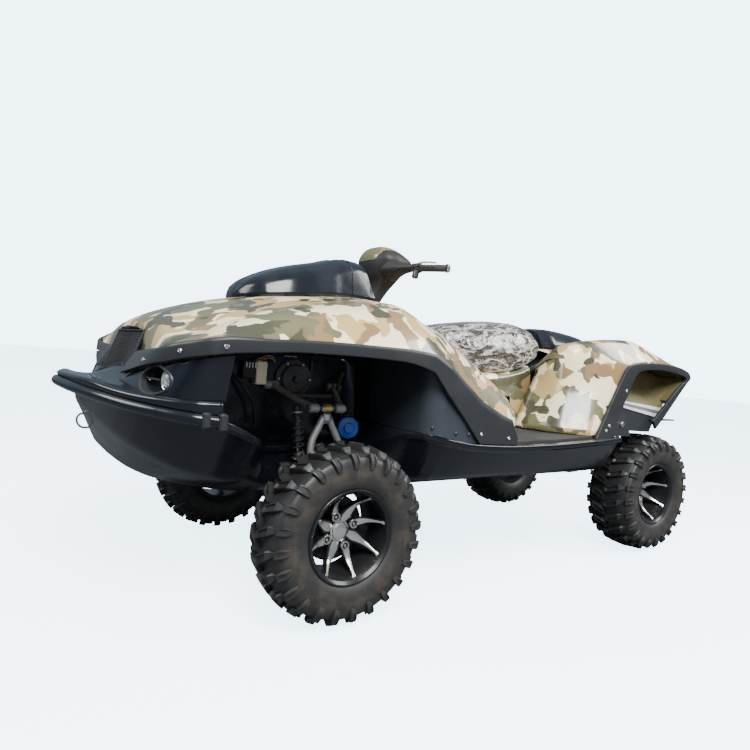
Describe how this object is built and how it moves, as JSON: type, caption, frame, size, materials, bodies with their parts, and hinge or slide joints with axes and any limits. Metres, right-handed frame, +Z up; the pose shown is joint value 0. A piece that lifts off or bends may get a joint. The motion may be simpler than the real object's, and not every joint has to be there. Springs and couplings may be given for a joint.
{
  "type": "amphibious all-terrain vehicle",
  "caption": "An amphibious quad in camouflage: a planing hull with a black bow, fenders, saddle and handlebar on wheels with lugged tyres and slim-spoked rims.",
  "frame": {"origin": "On the ground, below the middle of the bounding box", "axes": "+X points forward to the bow, +Y to the vehicle's left, +Z up"},
  "size_m": [3.1949, 1.47, 1.4602],
  "materials": {
    "gloss_black": "glossy, lightly scuffed",
    "satin_black": "satin, fine grain",
    "camouflage": "semi-gloss, four-colour woodland pattern",
    "olive_shell": "matt olive",
    "grip_mat": "ribbed, dusty",
    "tyre_rubber": "matt, dusty sidewalls",
    "rim_alloy": "gloss black dish, machined spokes",
    "dark_steel": "semi-gloss",
    "bright_steel": "polished",
    "dark_plastic": "satin",
    "seat_cover": "grey cover under a clear crinkled film",
    "jet_alloy": "cast, satin"
  },
  "bodies": {
    "body": {"hull": "gloss_black", "bow_rail": "gloss_black", "bow_deck": "gloss_black", "cheek_left": "gloss_black", "cheek_right": "gloss_black", "side_panel_left": "gloss_black", "side_panel_right": "gloss_black", "bow_eye": "bright_steel", "hood": "camouflage", "tunnel": "camouflage", "rear_deck": "camouflage", "front_fender_left": "camouflage", "front_fender_right": "camouflage", "rear_fender_left": "camouflage", "rear_fender_right": "camouflage", "tail_panel": "satin_black", "front_frame": "satin_black", "front_trim_left": "satin_black", "front_trim_right": "satin_black", "rear_trim_left": "satin_black", "rear_trim_right": "satin_black", "grille": "dark_plastic", "storage_bin": "dark_plastic", "rear_core": "olive_shell", "foot_mat_left": "grip_mat", "foot_mat_right": "grip_mat", "steering_column": "dark_steel", "engine": "dark_steel", "upper_arm_left": "dark_steel", "upper_arm_right": "dark_steel", "lower_arm_left": "dark_steel", "lower_arm_right": "dark_steel", "front_shock_left": "dark_steel", "front_shock_right": "dark_steel", "rear_arm_left": "dark_steel", "rear_arm_right": "dark_steel", "rear_shock_left": "dark_steel", "rear_shock_right": "dark_steel", "jet_mount": "jet_alloy"},
    "steering": {"handlebar": "dark_plastic"},
    "knuckle_left": {"knuckle_left": "dark_steel"},
    "knuckle_right": {"knuckle_right": "dark_steel"},
    "nozzle": {"jet_nozzle": "jet_alloy"},
    "bucket": {"reverse_bucket": "jet_alloy"},
    "impeller": {"impeller": "bright_steel"},
    "saddle": {"seat": "seat_cover"},
    "cowl": {"front_lid": "gloss_black"},
    "rear_hatch": {"rear_lid": "gloss_black"},
    "wheel_front_left": {"tyre_front_left": "tyre_rubber", "rim_front_left": "rim_alloy"},
    "wheel_front_right": {"tyre_front_right": "tyre_rubber", "rim_front_right": "rim_alloy"},
    "wheel_rear_left": {"tyre_rear_left": "tyre_rubber", "rim_rear_left": "rim_alloy"},
    "wheel_rear_right": {"tyre_rear_right": "tyre_rubber", "rim_rear_right": "rim_alloy"}
  },
  "joints": [
    {"name": "handlebar_steer", "type": "hinge", "parent": "body", "child": "steering", "pos_m": [0.27, 0, 1.205], "axis": [-0.36, 0, 0.933], "range_deg": [-35, 35]},
    {"name": "knuckle_left_steer", "type": "hinge", "parent": "body", "child": "knuckle_left", "pos_m": [0.74, 0.46, 0.3175], "axis": [0, 0, 1], "range_deg": [-24.5, 24.5]},
    {"name": "wheel_front_left_spin", "type": "hinge", "parent": "knuckle_left", "child": "wheel_front_left", "pos_m": [0.74, 0.613, 0.3175], "axis": [0, 1, 0], "continuous": true},
    {"name": "wheel_rear_left_spin", "type": "hinge", "parent": "body", "child": "wheel_rear_left", "pos_m": [-1.28, 0.513, 0.3175], "axis": [0, 1, 0], "continuous": true},
    {"name": "knuckle_right_steer", "type": "hinge", "parent": "body", "child": "knuckle_right", "pos_m": [0.74, -0.46, 0.3175], "axis": [0, 0, 1], "range_deg": [-24.5, 24.5]},
    {"name": "wheel_front_right_spin", "type": "hinge", "parent": "knuckle_right", "child": "wheel_front_right", "pos_m": [0.74, -0.613, 0.3175], "axis": [0, 1, 0], "continuous": true},
    {"name": "wheel_rear_right_spin", "type": "hinge", "parent": "body", "child": "wheel_rear_right", "pos_m": [-1.28, -0.513, 0.3175], "axis": [0, 1, 0], "continuous": true},
    {"name": "nozzle_steer", "type": "hinge", "parent": "body", "child": "nozzle", "pos_m": [-1.372, 0, 0.43], "axis": [0, 0, 1], "range_deg": [-21, 21]},
    {"name": "bucket_lower", "type": "hinge", "parent": "nozzle", "child": "bucket", "pos_m": [-1.455, 0, 0.43], "axis": [0, -1, 0], "range_deg": [0, 75]},
    {"name": "impeller_spin", "type": "hinge", "parent": "body", "child": "impeller", "pos_m": [-1.235, 0, 0.43], "axis": [1, 0, 0], "continuous": true},
    {"name": "seat_open", "type": "hinge", "parent": "body", "child": "saddle", "pos_m": [-0.028, 0, 1.09], "axis": [0, 1, 0], "range_deg": [0, 60]},
    {"name": "front_lid_open", "type": "hinge", "parent": "body", "child": "cowl", "pos_m": [0.976, 0, 1.14], "axis": [0, 1, 0], "range_deg": [0, 60]},
    {"name": "rear_lid_open", "type": "hinge", "parent": "body", "child": "rear_hatch", "pos_m": [-1.352, 0, 1.056], "axis": [0, -1, 0], "range_deg": [0, 70]}
  ],
  "couplings": [
    {"joint": "knuckle_left_steer", "follows": "handlebar_steer", "ratio": 0.7},
    {"joint": "knuckle_right_steer", "follows": "handlebar_steer", "ratio": 0.7},
    {"joint": "nozzle_steer", "follows": "handlebar_steer", "ratio": -0.6}
  ]
}
